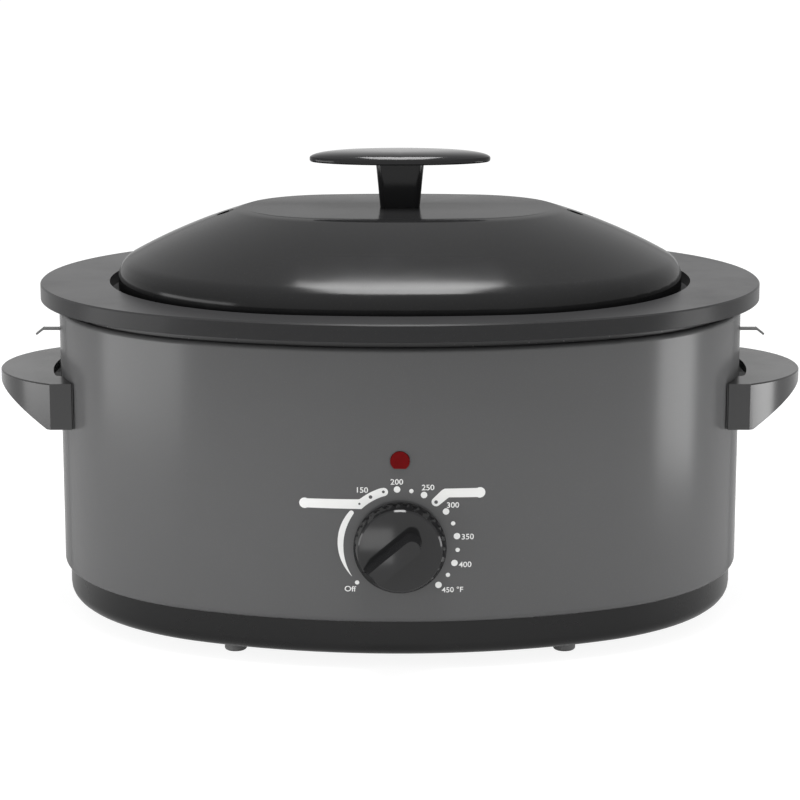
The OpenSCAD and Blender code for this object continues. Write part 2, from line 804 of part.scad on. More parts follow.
// The bar points along +X; its nose runs down to the skirt.
bar_nose_top = 15.7;
bar_tail = 11.2;
module finger_bar() {
    w = bar_w / 2;
    hull() {
        translate([-bar_tail + w, 0, bar_d - 0.2]) cylinder(r = w, h = 0.2, $fn = 32);
        translate([bar_nose_top - 1, -w, bar_d - 0.2]) cube([1, 2 * w, 0.2]);
        translate([-bar_tail + w, 0, -0.5]) cylinder(r = w + 0.8, h = 0.2, $fn = 32);
        translate([knob_face_r - 1.5, -w - 0.6, -0.5]) cube([1, 2 * w + 1.2, 0.2]);
    }
    hull() {
        translate([bar_nose_top - 4, -w * 0.8, bar_d - 3]) cube([3.2, 1.6 * w, 1]);
        translate([knob_face_r - 3, -w * 0.8, -knob_d + 2.6]) cube([knob_skirt_r - knob_face_r + 2.6, 1.6 * w, 1]);
    }
}

// ---------------------------------------------------------------- indicator lamp
module lens_outline(grow, h) {
    difference() {
        cylinder(r = lens_r + grow, h = h, center = true, $fn = round_fn);
        translate([0, -lens_flat - grow - lens_r, 0])
            cube([4 * lens_r, 2 * lens_r, 2 * h], center = true);
    }
}

lens_in = 5;
lens_proud = 0.8;
module lamp_lens() {
    color([0.5, 0.03, 0.04])
    on_front(lamp_z) difference() {
        translate([0, 0, (lens_proud - lens_in) / 2]) lens_outline(0, lens_in + lens_proud);
        translate([0, 0, -lens_in - 1]) cylinder(r = lens_r - 1.6, h = 3.5, $fn = round_fn);
    }
}

holder_w = 1.6;
holder_d = 8.4;
module lamp_holder() {
    color([0.85, 0.85, 0.82])
    on_front(lamp_z) translate([0, 0, -body_t - plate_gap - holder_d]) difference() {
        cylinder(r = lens_r + holder_w, h = holder_d, $fn = round_fn);
        translate([0, 0, 1.4]) cylinder(r = lens_r + 0.1, h = holder_d, $fn = round_fn);
    }
}

module neon_lamp() {
    base = -body_t - plate_gap - holder_d + 1.5;
    color([0.9, 0.6, 0.4])
    on_front(lamp_z) translate([0, 0, base])
        cylinder(r = 1.8, h = holder_d - lens_in + body_t + 1, $fn = small_fn);
}

// ---------------------------------------------------------------- mains inlet and leads
grommet_r = inlet_r + 2.8;
module inlet_grommet() {
    flange = 2.4;
    color(plastic_black)
    on_back(inlet_z) rotate_extrude($fn = round_fn)
        polygon([
            [inlet_r, -body_t - 2.4], [grommet_r + flange - 0.6, -body_t - 2.4],
            [grommet_r + flange, -body_t - 1.6], [grommet_r + flange, -body_t - 0.5],
            [grommet_r - 0.1, -body_t - 0.5], [grommet_r - 0.1, 0.5],
            [grommet_r + flange, 0.5], [grommet_r + flange, 1.4],
            [inlet_r + 2, 6], [inlet_r, 6]
        ]);
}

// A round lead through the given points
module lead(points) {
    n = len(points);
    sides = 8;
    function dir(i) = points[min(i + 1, n - 1)] - points[max(i - 1, 0)];
    function unit(v) = v / norm(v);
    function side_of(t) = unit(cross(t, abs(t[2]) < 0.9 ? [0, 0, 1] : [1, 0, 0]));
    rings = [for (i = [0:n - 1]) let (t = unit(dir(i)), u = side_of(t), v = cross(t, u))
        for (s = [0:sides - 1]) let (a = 360 * s / sides)
            points[i] + lead_r * (cos(a) * u + sin(a) * v)];
    walls = [for (i = [0:n - 2], s = [0:sides - 1]) let (
            a = i * sides + s, b = i * sides + (s + 1) % sides, c = b + sides, d = a + sides)
        each [[a, b, c], [a, c, d]]];
    caps = [[for (s = [sides - 1:-1:0]) s], [for (s = [0:sides - 1]) (n - 1) * sides + s]];
    polyhedron(rings, concat(walls, caps));
}

// A smooth curve from one point to another that leaves and arrives in the given directions
function sweep_path(p, leave, q, arrive, steps = 8) =
    [for (i = [0:steps]) let (t = i / steps, s = 1 - t)
        s * s * s * p + 3 * s * s * t * (p + leave) + 3 * s * t * t * (q + arrive) + t * t * t * q];

module lead_wires() {
    low = (z_base + base_t + z_well_floor) / 2;
    tab_z = knob_z - stat_w / 2 - 11.3;
    tab_y = stat_back_y - stat_d / 2;
    back_y = wall_in_y - 8;
    color([0.75, 0.2, 0.15]) {
        lead(concat(
            sweep_path([1.5, back_y, inlet_z], [0, -14, 0], [30, 40, low], [0, 30, 0]),
            sweep_path([30, 36, low], [0, -30, 0], [10, tab_y, tab_z], [0, 0, -12])));
        lead(concat(
            sweep_path([-1.5, back_y, inlet_z], [0, -14, 0], [-30, 40, low], [0, 30, 0]),
            sweep_path([-30, 36, low], [0, -30, 0], [-10, tab_y, tab_z], [0, 0, -12])));
    }
}

// ---------------------------------------------------------------- cooking pan
module cooking_pan() {
    flange_in = flange_end_w + 6;
    color(steel_grey * 0.9)
    difference() {
        union() {
            round_oval(rim_oval) polygon([
                [-rim_bevel, z_rim], [0, z_rim - rim_bevel],
                [0, z_skirt + rim_bevel / 2], [-rim_bevel / 2, z_skirt], [-enamel_t, z_skirt],
                [-enamel_t, z_rim - enamel_t], [-flange_in, z_rim - enamel_t], [-flange_in, z_rim]
            ]);
            oval_block(opening_oval, tub(pan_outer, z_rim - enamel_t / 2),
                z_rim - enamel_t / 2, z_pan_floor - pan_outer);
        }
        oval_block(opening_oval, tub(0, z_rim + 5), z_rim + 5, z_pan_floor);
    }
}

// ---------------------------------------------------------------- rack
rack_rod_z = z_pan_floor + seat_gap + rack_leg_h;
rack_drop = corner_z - rack_rod_z;
rack_wall_out = rack_drop > 0
    ? corner_out + sqrt(pow(pan_corner_r, 2) - pow(min(rack_drop, pan_corner_r), 2))
    : tub_out(0, rack_rod_z);
rack_out = rack_wall_out - rack_gap - rack_rim_r;
rack_rods = floor((opening_half_len + rack_out - 20) / rack_pitch);

module roasting_rack() {
    color(bright_steel) {
        translate([0, 0, rack_rod_z]) {
            round_oval(opening_oval) translate([rack_out, 0]) circle(r = rack_rim_r, $fn = 24);
            for (i = [-rack_rods:rack_rods]) {
                half = oval_y(opening_oval, rack_out, i * rack_pitch);
                translate([i * rack_pitch, 0, 0.4]) rotate([90, 0, 0])
                    cylinder(r = rack_rod_r, h = 2 * half, center = true, $fn = small_fn);
            }
            for (y = [-rack_long_y, rack_long_y])
                translate([0, y, -rack_rod_r]) rotate([0, 90, 0])
                    cylinder(r = rack_rod_r, h = 2 * rack_cross(y), center = true, $fn = small_fn);
        }
        for (x = [-rack_rods, rack_rods], y = [-rack_long_y, rack_long_y])
            translate([x * rack_pitch, y, z_pan_floor + seat_gap])
                cylinder(r = rack_rod_r, h = rack_leg_h, $fn = small_fn);
    }
}
// Half length of the rack's rim at distance y from the middle
function rack_cross(y) =
    end_c(opening_oval) + sqrt(pow(end_r(opening_oval) + rack_out, 2) - y * y);

// ---------------------------------------------------------------- lid
lid_out = -lid_gap;
lid_base_z = z_ledge + seat_gap;
shoulder_c = [lid_out - lid_shoulder_r, z_rim + lid_edge_up];
shoulder_a = 90 - lid_slope;
crown_from = shoulder_c + lid_shoulder_r * [cos(shoulder_a), sin(shoulder_a)];
crown_to = [lid_out - lid_top_in, z_rim + lid_rise];
crown_vec = crown_from - crown_to;
crown_chord_a = atan2(crown_to[1] - crown_from[1], crown_vec[0]);
crown_turn = lid_slope - crown_chord_a;
crown_r = norm(crown_vec) / (2 * sin(crown_turn));
crown_c = crown_from - crown_r * [cos(shoulder_a), sin(shoulder_a)];
crown_end_a = shoulder_a + 2 * crown_turn;
crown_from_a = shoulder_a + crown_turn / 6;
// Where the crown's inner face meets the inner face of the flat top
crown_in_a = asin((crown_to[1] - lid_t - crown_c[1]) / (crown_r - lid_t));

module lid_dome() {
    top = z_rim + lid_rise;
    flat_w = 9;
    inner = lid_t;
    color(lid_grey)
    difference() {
        union() {
            round_oval(opening_oval) polygon(concat(
                [[lid_out, lid_base_z]],
                arc_points(shoulder_c, lid_shoulder_r, 0, shoulder_a, 6),
                arc_points(crown_c, crown_r, crown_from_a, crown_end_a, 11),
                [[crown_to[0] - flat_w, top], [crown_to[0] - flat_w, top - inner]],
                arc_points(crown_c, crown_r - inner, crown_in_a, crown_from_a, 11),
                arc_points(shoulder_c, lid_shoulder_r - inner, shoulder_a, 0, 6),
                [[lid_out - inner, lid_base_z + 1.6], [lid_out - lid_hem_w, lid_base_z + 1.6],
                 [lid_out - lid_hem_w, lid_base_z]]
            ));
            translate([0, 0, top - inner])
                linear_extrude(inner) polygon(oval_points(opening_oval, crown_to[0] - flat_w / 2));
        }
        for (x = [-vent_x, vent_x])
            translate([x, 0, z_rim]) cylinder(r = vent_r, h = lid_rise + 10, $fn = round_fn);
        translate([0, 0, z_rim]) cylinder(r = lid_screw_r + hole_clear, h = lid_rise + 10, $fn = small_fn);
    }
}

lid_screw_r = 2;
lid_washer_t = 1;
module lid_handle() {
    low = z_rim + lid_rise + stem_h;
    edge_r = grip_edge_t / 2;
    crown = grip_t - grip_edge_t;
    color(plastic_black)
    difference() {
        union() {
            resize([2 * grip_half_len, 2 * grip_half_dep, 0])
                rotate_extrude($fn = 72)
                    polygon(concat(
                        [[0, low]],
                        arc_points([grip_half_len - edge_r, low + edge_r], edge_r, -90, 0, 4),
                        [for (i = [0:9]) let (a = 10 * i)
                            [grip_half_len * sqrt(cos(a)), low + grip_edge_t + crown * sin(a)]]
                    ));
            hull() {
                stem_level(stem_foot_w, stem_foot_d, z_rim + lid_rise);
                stem_level(stem_top_w, stem_top_d, low + 0.4);
            }
        }
        translate([0, 0, z_rim + lid_rise - 1])
            cylinder(r = lid_screw_r + 0.05, h = 15, $fn = small_fn);
    }
}

// One end of the stem: a thin plate with four round corners
module stem_level(w, d, z) {
    for (x = [-1, 1], y = [-1, 1])
        translate([x * (w - stem_edge_r), y * (d - stem_edge_r), z])
            cylinder(r = stem_edge_r, h = 0.2, $fn = 32);
}

module lid_handle_washer() {
    color(bright_steel)
    translate([0, 0, z_rim + lid_rise - lid_t - lid_washer_t])
        difference() {
            cylinder(r = 8, h = lid_washer_t, $fn = round_fn);
            cylinder(r = lid_screw_r + hole_clear, h = 6, center = true, $fn = small_fn);
        }
}

module lid_handle_screw() {
    head_h = 2.6;
    under = z_rim + lid_rise - lid_t - lid_washer_t;
    color(bright_steel) {
        translate([0, 0, under - head_h]) cylinder(r = 4, h = head_h, $fn = round_fn);
        translate([0, 0, under - 0.5]) cylinder(r = lid_screw_r, h = 14, $fn = small_fn);
    }
}

outer_body();
base_pan();
heat_well();
heating_band();
insulation_blanket();
tie_stud();
tie_washer();
tie_nut();
foot(-foot_x, -foot_y);  // foot_front_left
foot(foot_x, -foot_y);  // foot_front_right
foot(-foot_x, foot_y);  // foot_rear_left
foot(foot_x, foot_y);  // foot_rear_right
foot_screws();
side_handle(-1);  // side_handle_left
side_handle(1);  // side_handle_right
handle_plate(-1);  // handle_plate_left
handle_plate(1);  // handle_plate_right
handle_screws();
lid_rest(-1);  // lid_rest_left
lid_rest(1);  // lid_rest_right
lid_rest_rivets();
thermostat();
thermostat_bracket();
bracket_screws();
lamp_lens();
lamp_holder();
neon_lamp();
lead_wires();
inlet_grommet();
control_knob();
control_shaft();
knob_spring();
cooking_pan();
roasting_rack();
lid_dome();
lid_handle();
lid_handle_screw();
lid_handle_washer();
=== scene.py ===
import math
from collections import namedtuple

import bmesh
import bpy
from bpy.props import FloatProperty, FloatVectorProperty, PointerProperty
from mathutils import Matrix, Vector


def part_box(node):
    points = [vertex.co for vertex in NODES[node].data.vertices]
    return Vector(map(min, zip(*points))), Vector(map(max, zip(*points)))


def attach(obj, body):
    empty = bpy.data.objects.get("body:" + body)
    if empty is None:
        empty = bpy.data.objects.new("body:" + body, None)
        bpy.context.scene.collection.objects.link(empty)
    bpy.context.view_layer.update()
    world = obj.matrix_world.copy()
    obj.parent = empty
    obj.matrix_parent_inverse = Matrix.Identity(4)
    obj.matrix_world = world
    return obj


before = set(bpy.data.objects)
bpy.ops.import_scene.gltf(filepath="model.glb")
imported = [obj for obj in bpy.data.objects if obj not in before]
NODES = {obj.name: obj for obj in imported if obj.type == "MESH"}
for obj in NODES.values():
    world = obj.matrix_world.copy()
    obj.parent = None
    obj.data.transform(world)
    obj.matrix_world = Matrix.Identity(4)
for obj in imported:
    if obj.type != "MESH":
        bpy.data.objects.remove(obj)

bl_info = {
    "name": "Oval roaster oven finishes",
    "version": (1, 0, 0),
    "blender": (4, 5, 0),
    "location": "View3D > Sidebar > Roaster",
    "description": "Finishes, dial print, fittings and studio for an oval electric roaster oven",
    "category": "Object",
}

MM = 0.001

# Where the dial is: on the front wall, round the knob's axis.
FRONT_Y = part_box("outer_body")[0].y
KNOB_LOW, KNOB_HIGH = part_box("control_knob")
DIAL_HEIGHT = (KNOB_LOW.z + KNOB_HIGH.z) / 2

Specks = namedtuple("Specks", "colour amount scale")
Lamp = namedtuple("Lamp", "place target width height")


# ------------------------------------------------------------------ user settings
class RoasterColours(bpy.types.PropertyGroup):
    """Colours of the finishes, as linear values"""
    body: FloatVectorProperty(
        name="Body paint", description="Charcoal coat of the outer body",
        subtype="COLOR", size=3, min=0, max=1, default=(0.086, 0.086, 0.087))
    pan: FloatVectorProperty(
        name="Pan enamel", description="Dark enamel of the cooking pan and its rim",
        subtype="COLOR", size=3, min=0, max=1, default=(0.024, 0.024, 0.0246))
    lid: FloatVectorProperty(
        name="Lid enamel", description="Near-black enamel of the domed lid",
        subtype="COLOR", size=3, min=0, max=1, default=(0.0095, 0.0095, 0.0098))
    base: FloatVectorProperty(
        name="Base paint", description="Black coat of the base band",
        subtype="COLOR", size=3, min=0, max=1, default=(0.0055, 0.0055, 0.0057))
    plastic: FloatVectorProperty(
        name="Handle plastic", description="Black heat-proof moulding of handles and knob",
        subtype="COLOR", size=3, min=0, max=1, default=(0.012, 0.012, 0.0125))
    lens: FloatVectorProperty(
        name="Lens", description="Dark red indicator lens",
        subtype="COLOR", size=3, min=0, max=1, default=(0.125, 0.0025, 0.003))
    print_ink: FloatVectorProperty(
        name="Print", description="Pale ink of the dial print",
        subtype="COLOR", size=3, min=0, max=1, default=(0.78, 0.78, 0.77))


class RoasterSizes(bpy.types.PropertyGroup):
    """Sizes of what is printed on the front wall"""
    front_radius: FloatProperty(
        name="Front radius", description="Radius of the body's front wall",
        unit="LENGTH", min=0.2, max=0.4, default=0.25535)
    ink_thickness: FloatProperty(
        name="Ink thickness", description="How far the print stands off the paint",
        unit="LENGTH", min=0.00001, max=0.0003, default=0.00004)
    digit_height: FloatProperty(
        name="Digit height", description="Height of the numbers round the dial",
        unit="LENGTH", min=0.001, max=0.006, default=0.00275)
    big_dot: FloatProperty(
        name="Big dot", description="Radius of a dot beside a number",
        unit="LENGTH", min=0.0005, max=0.003, default=0.00157)
    small_dot: FloatProperty(
        name="Small dot", description="Radius of a dot between two numbers",
        unit="LENGTH", min=0.0003, max=0.002, default=0.00105)


class RoasterStudio(bpy.types.PropertyGroup):
    """Brightness of the lamps and the plain light"""
    left_lamp: FloatProperty(
        name="Left lamp", description="Brightness of the low, wide lamp at the left",
        min=0, max=50, default=4.8)
    right_lamp: FloatProperty(
        name="Right lamp", description="Brightness of the small, low lamp at the right",
        min=0, max=50, default=8.5)
    top_lamp: FloatProperty(
        name="Top lamp", description="Brightness of the overhead lamp",
        min=0, max=50, default=21)
    knob_card: FloatProperty(
        name="Knob card", description="Brightness of the small card that shows in the knob's face",
        min=0, max=50, default=2.8)
    ambient: FloatProperty(
        name="Ambient", description="Level of the plain light from all round",
        min=0, max=2, default=0.6)


def colours():
    """The colours that a user may change."""
    return bpy.context.scene.roaster_colours


def sizes():
    """The sizes of the print that a user may change."""
    return bpy.context.scene.roaster_sizes


def studio():
    """The brightness of each lamp, which a user may change."""
    return bpy.context.scene.roaster_studio


# ------------------------------------------------------------------ node helpers
def set_input(tree, socket, value):
    """Gives an input a number or a colour, or joins another node's output to it."""
    if isinstance(value, bpy.types.NodeSocket):
        tree.links.new(value, socket)
    else:
        socket.default_value = value


def feed(tree, node, **inputs):
    """Sets or joins inputs by name; an underscore stands for a space."""
    for name, value in inputs.items():
        set_input(tree, node.inputs[name.replace("_", " ")], value)


def add_node(tree, kind, **settings):
    """A node with its settings; a name that is an input's sets or joins that input."""
    node = tree.nodes.new(kind)
    for name, value in settings.items():
        if name.replace("_", " ") in node.inputs:
            feed(tree, node, **{name: value})
        else:
            setattr(node, name, value)
    return node


def math_node(tree, operation, *values):
    """One step of arithmetic; each value is a number or a socket."""
    node = add_node(tree, "ShaderNodeMath", operation=operation)
    for socket, value in zip(node.inputs, values):
        set_input(tree, socket, value)
    return node.outputs[0]


def blend_colour(tree, factor, a, b):
    """A colour between a and b; each value is a colour or a socket."""
    mix = add_node(tree, "ShaderNodeMix", data_type="RGBA")
    sockets = {socket.identifier: socket for socket in (*mix.inputs, *mix.outputs)}
    set_input(tree, sockets["Factor_Float"], factor)
    set_input(tree, sockets["A_Color"], a)
    set_input(tree, sockets["B_Color"], b)
    return sockets["Result_Color"]


def scale_colour(tree, colour, gain):
    """A colour made lighter or darker; both are sockets."""
    scaled = add_node(tree, "ShaderNodeVectorMath", operation="SCALE", Scale=gain)
    set_input(tree, scaled.inputs[0], colour)
    return scaled.outputs[0]


def own_place(tree):
    """The place of a point in its piece's own coordinates, in metres."""
    return add_node(tree, "ShaderNodeTexCoord").outputs["Object"]


def noise(tree, scale, detail=3.0, rough=0.55, stretch=None):
    """Noise in the piece's own coordinates; scale is a number or a socket."""
    place = own_place(tree)
    if stretch:
        place = add_node(tree, "ShaderNodeMapping", Scale=stretch, Vector=place).outputs["Vector"]
    cloud = add_node(tree, "ShaderNodeTexNoise", Detail=detail, Roughness=rough, Vector=place,
                     Scale=scale)
    return cloud.outputs[0]


def seen_directly(tree):
    """1 for what the camera, a mirror or glass sees, and 0 for light that falls on a piece."""
    paths = add_node(tree, "ShaderNodeLightPath")
    mirrored = math_node(tree, "MAXIMUM", paths.outputs["Is Glossy Ray"],
                         paths.outputs["Is Transmission Ray"])
    return math_node(tree, "MAXIMUM", paths.outputs["Is Camera Ray"], mirrored)


# ------------------------------------------------------------------ shared effects
# Scales of noise and grain are in features to the metre, so a larger one is finer.
NUMBER = "NodeSocketFloat"
COLOUR = "NodeSocketColor"
MIDDLE_OF_NOISE = 0.5
SPECK_REACH = 0.34           # radius of a speck, as a share of its cell
LINE_ROUGHNESS = 0.25        # how far rolled lines change the roughness
SMUDGE_START = 0.52          # noise above this is a smudge
SMUDGE_SOFTNESS = 0.5        # how gently a smudge begins
SMUDGE_STRENGTH = 6.0
DUST_COLOUR = (0.55, 0.54, 0.52, 1)


def new_group(name, inputs, outputs):
    """An empty shader node group, the sockets that it is given, and its result node."""
    group = bpy.data.node_groups.new(name, "ShaderNodeTree")
    for label, default in inputs.items():
        kind = COLOUR if isinstance(default, tuple) else NUMBER
        socket = group.interface.new_socket(name=label, in_out="INPUT", socket_type=kind)
        socket.default_value = default
    for label, kind in outputs.items():
        group.interface.new_socket(name=label, in_out="OUTPUT", socket_type=kind)
    entry = add_node(group, "NodeGroupInput")
    return group, entry.outputs, add_node(group, "NodeGroupOutput")


def make_tone_group():
    """Slow unevenness of a coat: colour and roughness drift over a few centimetres."""
    group, given, result = new_group(
        "coat_tone",
        inputs={"Colour": (0.1, 0.1, 0.1, 1), "Drift": 0.08, "Scale": 30.0,
                "Roughness": 0.4, "Roughness Drift": 0.06},
        outputs={"Colour": COLOUR, "Roughness": NUMBER})
    cloud = noise(group, given["Scale"], detail=2.0)
    centred = math_node(group, "SUBTRACT", cloud, MIDDLE_OF_NOISE)
    gain = math_node(group, "MULTIPLY_ADD", centred, given["Drift"], 1.0)
    change = math_node(group, "MULTIPLY", centred, given["Roughness Drift"])
    feed(group, result, Colour=scale_colour(group, given["Colour"], gain),
         Roughness=math_node(group, "ADD", change, given["Roughness"]))
    return group


def make_speck_group():
    """Small pale specks, as in flecked enamel or metallic paint."""
    group, given, result = new_group(
        "speck",
        inputs={"Colour": (0.1, 0.1, 0.1, 1), "Speck Colour": (0.3, 0.3, 0.3, 1),
                "Amount": 0.2, "Scale": 900.0},
        outputs={"Colour": COLOUR})
    cells = add_node(group, "ShaderNodeTexVoronoi", Vector=own_place(group), Scale=given["Scale"])
    chance = add_node(group, "ShaderNodeSeparateColor", Color=cells.outputs["Color"])
    picked = math_node(group, "LESS_THAN", chance.outputs[0], given["Amount"])
    near = math_node(group, "LESS_THAN", cells.outputs["Distance"], SPECK_REACH)
    speck = math_node(group, "MULTIPLY", picked, near)
    shown = math_node(group, "MULTIPLY", speck, chance.outputs[1])
    feed(group, result,
         Colour=blend_colour(group, shown, given["Colour"], given["Speck Colour"]))
    return group


def make_grain_group():
    """Fine height for a bump: orange peel of a coat, or spark-eroded grain of a moulding."""
    group, given, result = new_group(
        "fine_grain",
        inputs={"Scale": 900.0, "Coarse Scale": 120.0, "Coarse Share": 0.3},
        outputs={"Height": NUMBER})
    fine = noise(group, given["Scale"], detail=2.0)
    coarse = noise(group, given["Coarse Scale"], detail=2.0)
    both = math_node(group, "MULTIPLY_ADD", coarse, given["Coarse Share"], fine)
    feed(group, result, Height=both)
    return group


def make_lines_group():
    """Fine lines along one direction, for drawn or rolled metal."""
    group, given, result = new_group(
        "rolled_lines",
        inputs={"Colour": (0.5, 0.5, 0.5, 1), "Line Contrast": 0.2, "Roughness": 0.35},
        outputs={"Colour": COLOUR, "Roughness": NUMBER, "Height": NUMBER})
    lines = noise(group, scale=40.0, detail=4.0, rough=0.6, stretch=(1, 1, 30))
    centred = math_node(group, "SUBTRACT", lines, MIDDLE_OF_NOISE)
    gain = math_node(group, "MULTIPLY_ADD", centred, given["Line Contrast"], 1.0)
    rough = math_node(group, "MULTIPLY_ADD", centred, LINE_ROUGHNESS, given["Roughness"])
    feed(group, result, Colour=scale_colour(group, given["Colour"], gain), Roughness=rough,
         Height=lines)
    return group


def make_handling_group():
    """Faint smudges and settled dust: rougher patches, and a pale film where a face looks up."""
    group, given, result = new_group(
        "handling",
        inputs={"Colour": (0.1, 0.1, 0.1, 1), "Roughness": 0.4, "Smudge": 0.08, "Dust": 0.03},
        outputs={"Colour": COLOUR, "Roughness": NUMBER})
    patches = noise(group, scale=22.0, detail=5.0, rough=0.65)
    above = math_node(group, "SUBTRACT", patches, SMUDGE_START)
    smudge = math_node(group, "SMOOTH_MAX", above, 0.0, SMUDGE_SOFTNESS)
    strong = math_node(group, "MULTIPLY", smudge, SMUDGE_STRENGTH)
    rough = math_node(group, "MULTIPLY_ADD", strong, given["Smudge"], given["Roughness"])
    normal = add_node(group, "ShaderNodeNewGeometry").outputs["Normal"]
    facing = add_node(group, "ShaderNodeSeparateXYZ", Vector=normal)
    upward = math_node(group, "MAXIMUM", facing.outputs["Z"], 0.0)
    flecks = noise(group, scale=260.0, detail=3.0, rough=0.7)
    settled = math_node(group, "MULTIPLY", upward, flecks)
    film = math_node(group, "MULTIPLY", settled, given["Dust"])
    feed(group, result, Colour=blend_colour(group, film, given["Colour"], DUST_COLOUR),
         Roughness=rough)
    return group


GROUP_MAKERS = {"coat_tone": make_tone_group, "speck": make_speck_group,
                "fine_grain": make_grain_group, "rolled_lines": make_lines_group,
                "handling": make_handling_group}


def place_group(tree, name, **values):
    """Puts a shared effect, built the first time it is asked for, in a material."""
    group = bpy.data.node_groups.get(name) or GROUP_MAKERS[name]()
    return add_node(tree, "ShaderNodeGroup", node_tree=group, **values)


# ------------------------------------------------------------------ kinds of finish
SHALLOW_FADE = 1.12          # fall of the sheen towards the shallowest angle; 1 takes all of it
SHALLOW_LEAST = 0.004        # the least sheen that is left
TONE_SCALE = 26.0
TONE_ROUGHNESS = 0.05
COARSE_GRAIN = 8             # how many fine grains go across a coarse one
COARSE_SHARE = 0.6           # height of the coarse grain, as a share of the fine one's


def rgba(colour):
    """A colour with full opacity."""
    return (*colour, 1.0)


def blank_material(name):
    """A new material, its node tree and its shader."""
    material = bpy.data.materials.new(name)
    material.use_nodes = True
    tree = material.node_tree
    shader = next(n for n in tree.nodes if n.type == "BSDF_PRINCIPLED")
    return material, tree, shader


def add_bump(tree, shader, height, strength, distance):
    """Tiny relief; distance is its full height in metres."""
    bump = add_node(tree, "ShaderNodeBump", Strength=strength, Distance=distance, Height=height)
    feed(tree, shader, Normal=bump.outputs["Normal"])


def shallow_sheen(tree, shader, specular, fade=SHALLOW_FADE):
    """A satin coat shines less at shallow angles, because its fine grain hides itself."""
    view = add_node(tree, "ShaderNodeLayerWeight", Blend=0.5)
    sheen = math_node(tree, "MULTIPLY_ADD", view.outputs["Facing"], -fade * specular, specular)
    feed(tree, shader, Specular_IOR_Level=math_node(tree, "MAXIMUM", sheen, SHALLOW_LEAST))


def coated(name, colour, rough=0.4, specular=0.5, fade=SHALLOW_FADE, drift=0.08, specks=None,
           grain=900.0, depth=2e-5, smudge=0.05, dust=0.02, metallic=0.0):
    """Paint, enamel or moulded plastic: tone, optional specks, handling marks and fine grain.

    fade is how far the sheen falls towards shallow angles, and drift how uneven the colour is.
    grain is the scale of the fine grain, and depth its height in metres."""
    material, tree, shader = blank_material(name)
    tone = place_group(tree, "coat_tone", Colour=rgba(colour), Drift=drift, Scale=TONE_SCALE,
                       Roughness=rough, Roughness_Drift=TONE_ROUGHNESS)
    shade = tone.outputs["Colour"]
    if specks:
        flecked = place_group(tree, "speck", Colour=shade, Speck_Colour=rgba(specks.colour),
                              Amount=specks.amount, Scale=specks.scale)
        shade = flecked.outputs["Colour"]
    marks = place_group(tree, "handling", Colour=shade, Roughness=tone.outputs["Roughness"],
                        Smudge=smudge, Dust=dust)
    feed(tree, shader, Base_Color=marks.outputs["Colour"], Roughness=marks.outputs["Roughness"],
         Metallic=metallic)
    peel = place_group(tree, "fine_grain", Scale=grain, Coarse_Scale=grain / COARSE_GRAIN,
                       Coarse_Share=COARSE_SHARE)
    add_bump(tree, shader, peel.outputs["Height"], strength=0.35, distance=depth)
    shallow_sheen(tree, shader, specular, fade)
    return material


def metal(name, colour, rough, contrast, depth=1e-5):
    """Plain or plated metal with fine rolled lines."""
    material, tree, shader = blank_material(name)
    lines = place_group(tree, "rolled_lines", Colour=rgba(colour), Line_Contrast=contrast,
                        Roughness=rough)
    marks = place_group(tree, "handling", Colour=lines.outputs["Colour"],
                        Roughness=lines.outputs["Roughness"], Smudge=0.06, Dust=0.02)
    feed(tree, shader, Base_Color=marks.outputs["Colour"], Roughness=marks.outputs["Roughness"],
         Metallic=1.0)
    add_bump(tree, shader, lines.outputs["Height"], strength=0.2, distance=depth)
    return material


# ------------------------------------------------------------------ the finishes
LENS_DEEP = 0.75             # darkest and brightest parts of the lens, as shares of its colour
LENS_BRIGHT = 1.2


def body_paint():
    """Satin charcoal paint with very fine metallic specks."""
    return coated("body_paint", colours().body, rough=0.2, specular=0.26, fade=1.25, drift=0.04,
                  specks=Specks(colour=(0.12, 0.12, 0.123), amount=0.2, scale=4200.0),
                  grain=2600.0, depth=3e-6, smudge=0.02, dust=0.0)


def rest_steel():
    """Plain grey sheet steel of the two lid rests."""
    return coated("rest_steel", (0.16, 0.16, 0.16), drift=0.1, grain=1200.0, metallic=0.6)


def base_paint():
    """Semi-gloss black paint of the base band."""
    return coated("base_paint", colours().base, rough=0.25, specular=0.26, fade=1.0,
                  grain=1300.0, depth=4e-6, dust=0.0)


def foot_plastic():
    """Matt dark grey moulding of the feet."""
    return coated("foot_plastic", (0.2, 0.2, 0.2), rough=0.5, specular=0.4, grain=1800.0)


def well_enamel():
    """Dark enamel of the heated well, with sparse pale specks."""
    return coated("well_enamel", (0.05, 0.05, 0.051), rough=0.45, specular=0.4, drift=0.1,
                  specks=Specks(colour=(0.16, 0.16, 0.16), amount=0.1, scale=900.0))


def pan_enamel():
    """Dark satin enamel of the pan, finely flecked."""
    return coated("pan_enamel", colours().pan, rough=0.28, specular=0.1, fade=0.75, drift=0.06,
                  specks=Specks(colour=(0.05, 0.05, 0.05), amount=0.12, scale=3000.0),
                  depth=4e-6, dust=0.0)


def lid_enamel():
    """Near-black glossy enamel of the lid, finely flecked."""
    return coated("lid_enamel", colours().lid, rough=0.13, specular=0.22, drift=0.06,
                  specks=Specks(colour=(0.04, 0.04, 0.04), amount=0.08, scale=3200.0),
                  grain=800.0, depth=3e-6, dust=0.0)


def side_handle_plastic():
    """Satin black moulding of the side handles."""
    return coated("side_handle_plastic", colours().plastic, rough=0.22, specular=0.6, fade=0.98,
                  drift=0.06, grain=2200.0, depth=4e-6, dust=0.0)


def lid_handle_plastic():
    """Glossy black moulding of the lid handle."""
    return coated("lid_handle_plastic", colours().plastic, rough=0.1, specular=0.22, fade=0.6,
                  drift=0.05, grain=1500.0, depth=2e-6, dust=0.0)


